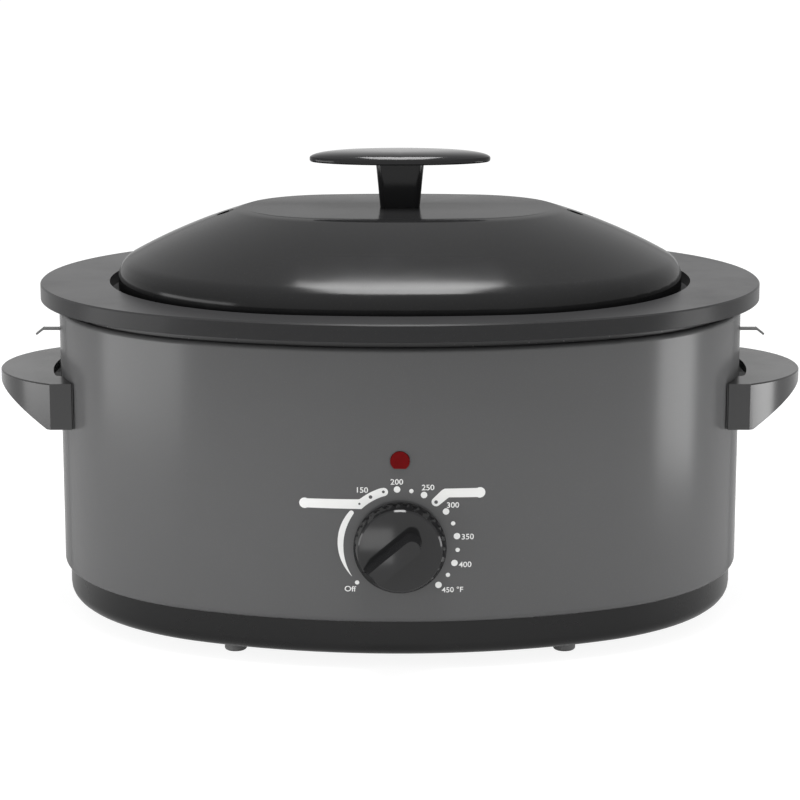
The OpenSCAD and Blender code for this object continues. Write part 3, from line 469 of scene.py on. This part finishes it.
def knob_plastic():
    """Polished black moulding of the knob."""
    return coated("knob_plastic", colours().plastic, rough=0.07, specular=0.33, drift=0.05,
                  grain=1800.0, depth=3e-7, dust=0.0, smudge=0.01)


def print_ink():
    """Screen-printed pale ink: nearly matt, a touch uneven."""
    return coated("print_ink", colours().print_ink, rough=0.5, specular=0.3, drift=0.05,
                  grain=2500.0, depth=5e-6, smudge=0.03, dust=0.0)


def holder_white():
    """White moulding of the lamp holder."""
    return coated("lamp_holder_white", (0.72, 0.72, 0.68), rough=0.5)


def thermostat_cream():
    """Cream ceramic-filled moulding with coarse pale specks."""
    return coated("thermostat_cream", (0.62, 0.56, 0.45), rough=0.6,
                  specks=Specks(colour=(0.8, 0.75, 0.65), amount=0.2, scale=700.0))


def lead_silicone():
    """Dark red silicone sleeve of the inner leads."""
    return coated("lead_silicone", (0.4, 0.03, 0.02), rough=0.5)


def grommet_rubber():
    """Matt black rubber of the inlet grommet."""
    return coated("grommet_rubber", (0.02, 0.02, 0.02), rough=0.65, specular=0.35,
                  grain=1500.0, depth=3e-5)


def band_jacket():
    """Mica and foil jacket of the heating band."""
    return metal("band_jacket", (0.55, 0.52, 0.47), rough=0.4, contrast=0.3)


def zinc_plate():
    """Zinc plating of fasteners, plates and shaft."""
    return metal("zinc_plate", (0.52, 0.52, 0.5), rough=0.38, contrast=0.2)


def plated_wire():
    """Bright plated wire of the rack."""
    return metal("plated_wire", (0.66, 0.66, 0.67), rough=0.16, contrast=0.06, depth=3e-6)


def glass_fibre():
    """Needled glass fibre: soft and matt, uneven in tone, with painted shade and painted light on
    its fibres.
    """
    material, tree, shader = blank_material("glass_fibre")
    fibres = noise(tree, scale=500.0, detail=6.0, rough=0.7, stretch=(1, 1, 0.25))
    clumps = noise(tree, scale=60.0)
    both = math_node(tree, "MULTIPLY", fibres, clumps)
    # The darker colour is painted shade between the fibres and the paler one is painted light on
    # them; the fibre noise lays them out.
    shaded_fibre, lit_fibre = (0.5, 0.46, 0.34, 1), (0.95, 0.93, 0.85, 1)
    feed(tree, shader, Base_Color=blend_colour(tree, both, shaded_fibre, lit_fibre), Roughness=0.95)
    add_bump(tree, shader, fibres, strength=0.6, distance=0.0004)
    return material


def red_lens():
    """Clear dark red plastic with fine vertical flutes inside."""
    material, tree, shader = blank_material("red_lens")
    glow = noise(tree, scale=300.0, detail=2.0)
    deep = rgba([part * LENS_DEEP for part in colours().lens])
    bright = rgba([min(1, part * LENS_BRIGHT) for part in colours().lens])
    feed(tree, shader, Base_Color=blend_colour(tree, glow, deep, bright), Roughness=0.2)
    flutes = noise(tree, scale=900.0, detail=1.0, rough=0.4, stretch=(1, 1, 0.1))
    add_bump(tree, shader, flutes, strength=0.15, distance=5e-5)
    shallow_sheen(tree, shader, specular=0.05)
    return material


def lamp_glass():
    """Clear glass of the neon bulb, faintly warm."""
    material, tree, shader = blank_material("lamp_glass")
    tint = noise(tree, scale=200.0, detail=2.0)
    warm, pale = (0.95, 0.8, 0.7, 1), (1, 0.9, 0.82, 1)
    feed(tree, shader, Base_Color=blend_colour(tree, tint, warm, pale), Roughness=0.05,
         Transmission_Weight=0.9)
    return material


# ------------------------------------------------------------------ finish of the CAD nodes
WELD_GAP = 4e-6                     # metres; corners this close are one
CORNER_ANGLE = math.radians(24)     # edges sharper than this stay sharp


def soft_shading_nodes():
    """Modifier nodes that join the facets and keep only real corners sharp."""
    group = bpy.data.node_groups.get("soft_shading")
    if group:
        return group
    group = bpy.data.node_groups.new("soft_shading", "GeometryNodeTree")
    for way in ("INPUT", "OUTPUT"):
        group.interface.new_socket(name="Mesh", in_out=way, socket_type="NodeSocketGeometry")
    start = add_node(group, "NodeGroupInput")
    weld = add_node(group, "GeometryNodeMergeByDistance", Geometry=start.outputs[0],
                    Distance=WELD_GAP)
    angle = add_node(group, "GeometryNodeInputMeshEdgeAngle").outputs["Unsigned Angle"]
    normal = add_node(group, "GeometryNodeSetMeshNormal", mode="SHARPNESS", Remove_Custom=True,
                      Mesh=weld.outputs[0],
                      Edge_Sharpness=math_node(group, "GREATER_THAN", angle, CORNER_ANGLE))
    add_node(group, "NodeGroupOutput", Mesh=normal.outputs[0])
    return group


def wear(material, *nodes):
    """Gives CAD nodes their finish and soft shading between their facets."""
    for node in nodes:
        piece = NODES[node]
        piece.data.materials.clear()
        piece.data.materials.append(material)
        facets = piece.modifiers.new("soft_shading", "NODES")
        facets.node_group = soft_shading_nodes()
        weights = piece.modifiers.new("flat_faces_stay_flat", "WEIGHTED_NORMAL")
        weights.keep_sharp = True


# ------------------------------------------------------------------ print on the front wall
# Places and radii of the print are in millimetres, seen from the front, from the knob's axis.
DIAL_WORDS = [
    ("150", -17.8, 27.7), ("200", -1.5, 31.8), ("250", 13.3, 29.0), ("300", 25.2, 20.2),
    ("350", 32.3, 4.5), ("400", 31.1, -9.2), ("450 °F", 25.1, -21.4), ("Off", -23.7, -21.0),
]
LETTER_CURVE_STEPS = 4
LETTER_BOLDNESS = 0.012      # growth of a stroke, as a share of the letters' size
WIDE_LETTERS = 1.08          # stretch of the letters sideways
SAME_CORNER = 1e-7           # letter corners this close, in metres, are one

BIG_DOTS = [(-1.4, 28.1), (11.4, 25.35), (21.9, 17.1), (27.15, 4.9), (26.0, -8.3), (18.4, -19.0)]
SMALL_DOTS = [(5.4, 27.3), (25.3, 11.2), (27.5, -1.9), (22.9, -14.1), (-20.5, -17.8)]
DOT_STEPS = 24
WINDOW_STEPS = 14

# The two range bars: x, y and radius of their round ends, the corners where they bend, and
# x, y and radius of the round windows in the ink.
PILL_RADIUS = 2.57
PILL_STEPS = 14
LOW_RANGE_PILL = (-45.47, 20.63)
LOW_RANGE_BEND_LOW = (-18.3, 18.4)
LOW_RANGE_BEND_HIGH = (-19.6, 23.1)
LOW_RANGE_INNER_RADIUS = 25.95
LOW_RANGE_OUTER_RADIUS = 30.1
LOW_RANGE_END = (-7.7, 26.83, 2.03)
LOW_RANGE_WINDOWS = [(-19.3, 20.9, 0.57), (-14.0, 24.3, 0.89), (-7.9, 26.9, 0.7)]
THAW_RANGE_PILL = (38.04, 26.0)
THAW_RANGE_FOOT = (17.2, 21.94, 2.2)
THAW_RANGE_BEND_LOW = (23.2, 24.0)
THAW_RANGE_BEND_HIGH = [(21.2, 28.3), (19.9, 27.6)]
THAW_RANGE_WINDOWS = [(17.15, 21.8, 0.89)]
ARC_STEPS = 8
FOOT_STEPS = 10

# The tapered line: its round head, its tip, and points that its two edges pass through.
TAPER_HEAD = (-23.16, 16.44, 1.15)
TAPER_TIP = (-22.89, -14.88)
TAPER_OUTER_TOP = (-24.1, 17.1)
TAPER_OUTER_MIDDLE = (-29.74, 3.11)
TAPER_INNER_TOP = (-22.22, 15.78)
TAPER_INNER_MIDDLE = (-26.97, 2.0)
TAPER_STEPS = 24

# Facets of the ink are fine enough to follow the curved wall.
LONGEST_FACET = 1.6 * MM
MOST_CUTS = 6
EDGE_DEPTH = 0.9             # depth of the ink's edge, as a share of how far it stands off


def new_object(name, data):
    """An object in the scene for a mesh, a word, a lamp or a camera."""
    placed = bpy.data.objects.new(name, data)
    bpy.context.scene.collection.objects.link(placed)
    return placed


def on_wall(x, height, proud):
    """A point that stands a little proud of the curved front wall.

    x and height are from the dial's centre, and all three are in metres."""
    radius = sizes().front_radius + proud
    centre = FRONT_Y + sizes().front_radius
    return Vector((x, centre - math.sqrt(radius * radius - x * x), DIAL_HEIGHT + height))


def cut_finely(drawing):
    """Splits a flat drawing's faces until none is too long to follow the wall."""
    bmesh.ops.triangulate(drawing, faces=drawing.faces[:])
    for _ in range(MOST_CUTS):
        long_edges = [e for e in drawing.edges if e.calc_length() > LONGEST_FACET]
        if not long_edges:
            break
        bmesh.ops.subdivide_edges(drawing, edges=long_edges, cuts=1)
        bmesh.ops.triangulate(drawing, faces=[f for f in drawing.faces if len(f.verts) > 3])


def lay_on_wall(name, drawing, material):
    """Turns a flat drawing into ink: fine-cut, laid on the wall, with a little thickness."""
    cut_finely(drawing)
    thickness = sizes().ink_thickness
    for vert in drawing.verts:
        vert.co = on_wall(vert.co.x, vert.co.y, thickness)
    bmesh.ops.recalc_face_normals(drawing, faces=drawing.faces[:])
    if sum(f.normal.y * f.calc_area() for f in drawing.faces) > 0:
        bmesh.ops.reverse_faces(drawing, faces=drawing.faces[:])
    mesh = bpy.data.meshes.new(name)
    drawing.to_mesh(mesh)
    drawing.free()
    mesh.materials.append(material)
    piece = new_object(name, mesh)
    skirt = piece.modifiers.new("ink_edge", "SOLIDIFY")
    skirt.thickness = thickness * EDGE_DEPTH
    skirt.offset = -1
    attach(piece, "housing")


def add_corners(drawing, points):
    """New corners of a flat drawing, from points in millimetres."""
    return [drawing.verts.new((x * MM, y * MM, 0)) for x, y in points]


def arc(cx, cy, radius, steps, start=0.0, end=360.0):
    """Points of an arc from start to end, in degrees, without the last of a full circle."""
    full = abs(end - start) >= 360
    count = steps if full else steps + 1
    return [(cx + radius * math.cos(math.radians(start + (end - start) * i / steps)),
             cy + radius * math.sin(math.radians(start + (end - start) * i / steps)))
            for i in range(count)]


def arc_through(a, b, c, steps):
    """Points of the arc from a through b to c."""
    ax, ay, bx, by, cx, cy = *a, *b, *c
    twice = 2 * (ax * (by - cy) + bx * (cy - ay) + cx * (ay - by))
    ox = ((ax * ax + ay * ay) * (by - cy) + (bx * bx + by * by) * (cy - ay)
          + (cx * cx + cy * cy) * (ay - by)) / twice
    oy = ((ax * ax + ay * ay) * (cx - bx) + (bx * bx + by * by) * (ax - cx)
          + (cx * cx + cy * cy) * (bx - ax)) / twice
    radius = math.hypot(ax - ox, ay - oy)
    start = math.degrees(math.atan2(ay - oy, ax - ox)) % 360
    end = math.degrees(math.atan2(cy - oy, cx - ox)) % 360
    return arc(ox, oy, radius, steps, start, end)


def low_range_outline():
    """A pill with a round left end that turns into a band along the dial's circle."""
    left = arc(*LOW_RANGE_PILL, PILL_RADIUS, PILL_STEPS, start=60, end=300)
    lower = arc(0, 0, LOW_RANGE_INNER_RADIUS, ARC_STEPS, start=132, end=108)
    end = arc(*LOW_RANGE_END, ARC_STEPS, start=285, end=450)
    upper = arc(0, 0, LOW_RANGE_OUTER_RADIUS, ARC_STEPS, start=108, end=128.5)
    return [*left, LOW_RANGE_BEND_LOW, *lower, *end, *upper, LOW_RANGE_BEND_HIGH]


def thaw_range_outline():
    """A short slanted band that turns into a pill with a round right end."""
    foot = arc(*THAW_RANGE_FOOT, FOOT_STEPS, start=142, end=318)
    right = arc(*THAW_RANGE_PILL, PILL_RADIUS, PILL_STEPS, start=-120, end=120)
    return [*foot, THAW_RANGE_BEND_LOW, *right, *THAW_RANGE_BEND_HIGH]


def taper_outline():
    """The swept line that grows from OFF to the first range, with a round head."""
    head = arc(*TAPER_HEAD, ARC_STEPS, start=-35, end=145)
    outer = arc_through(TAPER_OUTER_TOP, TAPER_OUTER_MIDDLE, TAPER_TIP, TAPER_STEPS)
    inner = arc_through(TAPER_TIP, TAPER_INNER_MIDDLE, TAPER_INNER_TOP, TAPER_STEPS)
    return head[1:-1] + outer + inner[1:]


def punched(points, windows=()):
    """A flat drawing of one outline with round windows, where the paint shows."""
    drawing = bmesh.new()
    edges = []
    for ring in [points] + [arc(*window, WINDOW_STEPS) for window in windows]:
        verts = add_corners(drawing, ring)
        edges += [drawing.edges.new((verts[i], verts[(i + 1) % len(verts)]))
                  for i in range(len(verts))]
    bmesh.ops.triangle_fill(drawing, edges=edges, use_beauty=True)
    return drawing


def dial_dots():
    """All dots beside and between the numbers, as one flat drawing."""
    drawing = bmesh.new()
    for places, radius in ((BIG_DOTS, sizes().big_dot), (SMALL_DOTS, sizes().small_dot)):
        for x, y in places:
            drawing.faces.new(add_corners(drawing, arc(x, y, radius / MM, DOT_STEPS)))
    return drawing


def written(text, x, y):
    """A word as flat faces, centred on x and y, in millimetres."""
    curve = bpy.data.curves.new("word", "FONT")
    curve.body = text
    curve.align_x = "CENTER"
    curve.align_y = "CENTER"
    curve.resolution_u = LETTER_CURVE_STEPS
    curve.offset = LETTER_BOLDNESS
    holder = new_object("word", curve)
    bpy.context.view_layer.update()
    drawing = bmesh.new()
    drawing.from_mesh(holder.to_mesh())
    holder.to_mesh_clear()
    bpy.data.objects.remove(holder)
    bpy.data.curves.remove(curve)
    across = [v.co.x for v in drawing.verts]
    upward = [v.co.y for v in drawing.verts]
    middle_x = (min(across) + max(across)) / 2
    middle_y = (min(upward) + max(upward)) / 2
    factor = sizes().digit_height / (max(upward) - min(upward))
    for vert in drawing.verts:
        vert.co.x = x * MM + (vert.co.x - middle_x) * factor * WIDE_LETTERS
        vert.co.y = y * MM + (vert.co.y - middle_y) * factor
    bmesh.ops.remove_doubles(drawing, verts=drawing.verts[:], dist=SAME_CORNER)
    return drawing


# ------------------------------------------------------------------ studio
# The camera looks down, so the upright walls mirror only what is low: the side lamps stand there.
LAMP_LEFT = Lamp(place=(-0.66, -0.2, 0.11), target=(0, 0, 0.11), width=0.55, height=0.22)
LAMP_RIGHT = Lamp(place=(0.52, -0.1, 0.07), target=(0, -0.1, 0.07), width=0.19, height=0.14)
LAMP_KNOB_CARD = Lamp(place=(-0.013, -0.32, 0.0218), target=(-0.013, 0, 0.0218),
                      width=0.0186, height=0.0118)
LAMP_TOP = Lamp(place=(0, -0.07, 1.1), target=(0, -0.07, 0), width=0.36, height=0.74)

FLOOR_REACH = 12.0
FLOOR_COLOUR = (0.8, 0.8, 0.8, 1)            # as it lights the object
FLOOR_SEEN_COLOUR = (0.25, 0.25, 0.25, 1)    # as it is seen, together with its glow
FLOOR_GLOW = 0.89
WHITE = (1, 1, 1, 1)

PHOTO_WIDTH = 800            # pixels
FOCAL_LENGTH = 2639.0        # pixels of the photograph
SENSOR_WIDTH = 36.0          # millimetres
CAMERA_PLACE = (0.0, -1.3499, 0.3856)
CAMERA_TILT = 11.686         # degrees below level


def soft_box(name, lamp, brightness):
    """A rectangular lamp that faces its target. Its power follows from brightness and area."""
    light = bpy.data.lights.new(name, "AREA")
    light.shape = "RECTANGLE"
    light.size = lamp.width
    light.size_y = lamp.height
    light.energy = brightness * math.pi * lamp.width * lamp.height
    holder = new_object(name, light)
    holder.location = lamp.place
    aim = Vector(lamp.target) - Vector(lamp.place)
    holder.rotation_euler = aim.to_track_quat("-Z", "Y").to_euler()


def make_floor():
    """A wide pale floor that keeps the object's shadow and looks white."""
    mesh = bpy.data.meshes.new("floor")
    corners = [(-1, -1), (1, -1), (1, 1), (-1, 1)]
    mesh.from_pydata([(x * FLOOR_REACH, y * FLOOR_REACH, 0) for x, y in corners], [], [(0, 1, 2, 3)])
    floor = new_object("floor", mesh)
    material, tree, shader = blank_material("floor_paper")
    seen = seen_directly(tree)
    feed(tree, shader, Roughness=0.9, Specular_IOR_Level=0.0, Emission_Color=WHITE,
         Base_Color=blend_colour(tree, seen, FLOOR_COLOUR, FLOOR_SEEN_COLOUR),
         Emission_Strength=math_node(tree, "MULTIPLY", seen, FLOOR_GLOW))
    mesh.materials.append(material)


def make_world():
    """Plain light from all round, which is white where the camera or a mirror sees it."""
    world = bpy.data.worlds.new("studio")
    bpy.context.scene.world = world
    world.use_nodes = True
    tree = world.node_tree
    back = next(n for n in tree.nodes if n.type == "BACKGROUND")
    ambient = studio().ambient
    level = math_node(tree, "MULTIPLY_ADD", seen_directly(tree), 1.0 - ambient, ambient)
    feed(tree, back, Color=WHITE, Strength=level)


def make_lamps():
    """Two low side lamps, a card that the knob's face mirrors, and the overhead lamp."""
    soft_box("lamp_left", LAMP_LEFT, studio().left_lamp)
    soft_box("lamp_right", LAMP_RIGHT, studio().right_lamp)
    soft_box("lamp_knob_card", LAMP_KNOB_CARD, studio().knob_card)
    soft_box("lamp_top", LAMP_TOP, studio().top_lamp)


def make_camera():
    """The camera at the photograph's distance, height and angle."""
    camera = bpy.data.cameras.new("camera")
    holder = new_object("camera", camera)
    holder.location = CAMERA_PLACE
    holder.rotation_euler = (math.radians(90 - CAMERA_TILT), 0, 0)
    camera.sensor_width = SENSOR_WIDTH
    camera.lens = FOCAL_LENGTH / PHOTO_WIDTH * SENSOR_WIDTH
    bpy.context.scene.camera = holder


# ------------------------------------------------------------------ operators
class RoasterPart:
    """What all operators of this file share"""
    bl_options = {"REGISTER", "UNDO"}


class ROASTER_OT_body(RoasterPart, bpy.types.Operator):
    """Charcoal paint on the outer body and plain steel on the lid rests"""
    bl_idname = "roaster.body"
    bl_label = "Body"

    def execute(self, context):
        wear(body_paint(), "outer_body")
        wear(rest_steel(), "lid_rest_left", "lid_rest_right")
        return {"FINISHED"}


class ROASTER_OT_base(RoasterPart, bpy.types.Operator):
    """Black base band and dark grey feet"""
    bl_idname = "roaster.base"
    bl_label = "Base and feet"

    def execute(self, context):
        wear(base_paint(), "base_pan")
        wear(foot_plastic(), "foot_front_left", "foot_front_right", "foot_rear_left",
             "foot_rear_right")
        return {"FINISHED"}


class ROASTER_OT_well(RoasterPart, bpy.types.Operator):
    """Dark enamel of the well, and the heating band and blanket round it"""
    bl_idname = "roaster.well"
    bl_label = "Heated well"

    def execute(self, context):
        wear(well_enamel(), "heat_well")
        wear(band_jacket(), "heating_band")
        wear(glass_fibre(), "insulation_blanket")
        return {"FINISHED"}


class ROASTER_OT_fasteners(RoasterPart, bpy.types.Operator):
    """Zinc-plated screws, stud, washers, plates, rivets, shaft and spring"""
    bl_idname = "roaster.fasteners"
    bl_label = "Fasteners"

    def execute(self, context):
        wear(zinc_plate(), "tie_stud", "tie_washer", "tie_nut", "foot_screws", "handle_plate_left",
             "handle_plate_right", "handle_screws", "lid_rest_rivets", "bracket_screws",
             "thermostat_bracket", "lid_handle_screw", "lid_handle_washer", "control_shaft",
             "knob_spring")
        return {"FINISHED"}


class ROASTER_OT_pan(RoasterPart, bpy.types.Operator):
    """Dark flecked enamel of the cooking pan and bright wire of the rack"""
    bl_idname = "roaster.pan"
    bl_label = "Pan and rack"

    def execute(self, context):
        wear(pan_enamel(), "cooking_pan")
        wear(plated_wire(), "roasting_rack")
        return {"FINISHED"}


class ROASTER_OT_lid(RoasterPart, bpy.types.Operator):
    """Near-black enamel of the domed lid"""
    bl_idname = "roaster.lid"
    bl_label = "Lid"

    def execute(self, context):
        wear(lid_enamel(), "lid_dome")
        return {"FINISHED"}


class ROASTER_OT_handles(RoasterPart, bpy.types.Operator):
    """Black moulded plastic of the lid handle and the two side handles"""
    bl_idname = "roaster.handles"
    bl_label = "Handles"

    def execute(self, context):
        wear(side_handle_plastic(), "side_handle_left", "side_handle_right")
        wear(lid_handle_plastic(), "lid_handle")
        return {"FINISHED"}


class ROASTER_OT_control(RoasterPart, bpy.types.Operator):
    """Polished black knob"""
    bl_idname = "roaster.control"
    bl_label = "Control knob"

    def execute(self, context):
        wear(knob_plastic(), "control_knob")
        return {"FINISHED"}


class ROASTER_OT_electrics(RoasterPart, bpy.types.Operator):
    """Indicator lamp, thermostat, leads and inlet grommet"""
    bl_idname = "roaster.electrics"
    bl_label = "Lamp and wiring"

    def execute(self, context):
        wear(red_lens(), "lamp_lens")
        wear(holder_white(), "lamp_holder")
        wear(lamp_glass(), "neon_lamp")
        wear(thermostat_cream(), "thermostat")
        wear(lead_silicone(), "lead_wires")
        wear(grommet_rubber(), "inlet_grommet")
        return {"FINISHED"}


class ROASTER_OT_print(RoasterPart, bpy.types.Operator):
    """Pale dial print: dots, numbers, two plain range bars and a tapered line"""
    bl_idname = "roaster.dial_print"
    bl_label = "Dial print"

    def execute(self, context):
        ink = print_ink()
        for index, (text, x, y) in enumerate(DIAL_WORDS):
            lay_on_wall(f"dial_word_{index}", written(text, x, y), ink)
        lay_on_wall("dial_dots", dial_dots(), ink)
        lay_on_wall("low_range_bar", punched(low_range_outline(), LOW_RANGE_WINDOWS), ink)
        lay_on_wall("thaw_range_bar", punched(thaw_range_outline(), THAW_RANGE_WINDOWS), ink)
        lay_on_wall("warm_up_taper", punched(taper_outline()), ink)
        return {"FINISHED"}


class ROASTER_OT_stage(RoasterPart, bpy.types.Operator):
    """Pale floor, soft lamps, plain background and camera"""
    bl_idname = "roaster.stage"
    bl_label = "Stage"

    def execute(self, context):
        make_floor()
        make_world()
        make_lamps()
        make_camera()
        context.scene.view_settings.view_transform = "Standard"
        return {"FINISHED"}


OPERATORS = (ROASTER_OT_body, ROASTER_OT_base, ROASTER_OT_well, ROASTER_OT_fasteners,
             ROASTER_OT_pan, ROASTER_OT_lid, ROASTER_OT_handles, ROASTER_OT_control,
             ROASTER_OT_electrics, ROASTER_OT_print, ROASTER_OT_stage)


class ROASTER_PT_panel(bpy.types.Panel):
    """Lists the roaster's pieces and settings"""
    bl_idname = "ROASTER_PT_panel"
    bl_label = "Roaster oven"
    bl_space_type = "VIEW_3D"
    bl_region_type = "UI"
    bl_category = "Roaster"

    def draw(self, context):
        layout = self.layout
        for group in (colours(), sizes(), studio()):
            box = layout.box()
            for label in group.__annotations__:
                box.prop(group, label)
        for operator in OPERATORS:
            layout.operator(operator.bl_idname)


CLASSES = (RoasterColours, RoasterSizes, RoasterStudio, *OPERATORS, ROASTER_PT_panel)


def register():
    """Makes the settings, the operators and the panel known to Blender."""
    for cls in CLASSES:
        bpy.utils.register_class(cls)
    bpy.types.Scene.roaster_colours = PointerProperty(type=RoasterColours)
    bpy.types.Scene.roaster_sizes = PointerProperty(type=RoasterSizes)
    bpy.types.Scene.roaster_studio = PointerProperty(type=RoasterStudio)


def unregister():
    """Takes them out again."""
    del bpy.types.Scene.roaster_studio
    del bpy.types.Scene.roaster_sizes
    del bpy.types.Scene.roaster_colours
    for cls in reversed(CLASSES):
        bpy.utils.unregister_class(cls)


def main():
    """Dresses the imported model."""
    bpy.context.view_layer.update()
    register()
    for operator in OPERATORS:
        group, name = operator.bl_idname.split(".")
        getattr(getattr(bpy.ops, group), name)()


if __name__ == "__main__":
    main()
